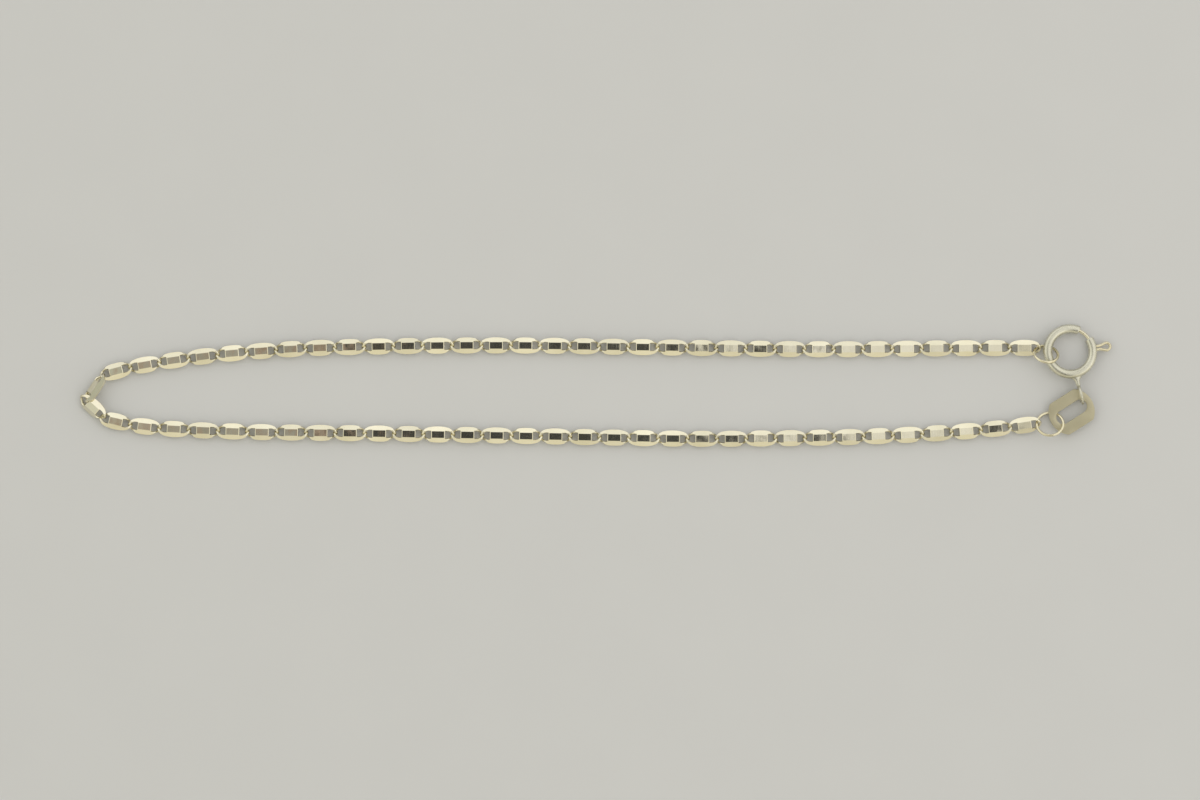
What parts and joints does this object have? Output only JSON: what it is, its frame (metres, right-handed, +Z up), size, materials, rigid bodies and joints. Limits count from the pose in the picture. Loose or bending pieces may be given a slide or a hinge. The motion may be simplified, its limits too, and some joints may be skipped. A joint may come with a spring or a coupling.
{
  "type": "chain anklet",
  "caption": "Closed ankle chain of flat faceted anchor links with a spring ring clasp, jump rings and a slotted end tag, laid out flat.",
  "frame": {"origin": "middle of the laid-out anklet's outline, on the surface it lies on", "axes": "+X along the loop towards the clasp, +Z up from the surface"},
  "size_m": [0.1134, 0.0134, 0.0022],
  "materials": {
    "chain_gold": "diamond-cut pale yellow gold, mirror facets",
    "ring_gold": "polished drawn wire",
    "tag_gold": "fine brushed face with polished edge",
    "clasp_gold": "satin pale gold tube",
    "bolt_gold": "polished wire"
  },
  "bodies": {
    "anklet": {"chain_upper": "chain_gold", "chain_lower": "chain_gold", "jump_ring_upper": "ring_gold", "jump_ring_lower": "ring_gold", "end_tag": "tag_gold", "spring_ring": "clasp_gold"},
    "bolt": {"spring_bolt": "bolt_gold"}
  },
  "joints": [
    {"name": "bolt_slide_round", "type": "hinge", "parent": "anklet", "child": "bolt", "pos_m": [0.05212, 0.00375, 0.00078], "axis": [0.0614, 0.091, 0.994], "range_deg": [-38, 0], "stiffness_Nm_per_rad": 0.004}
  ]
}
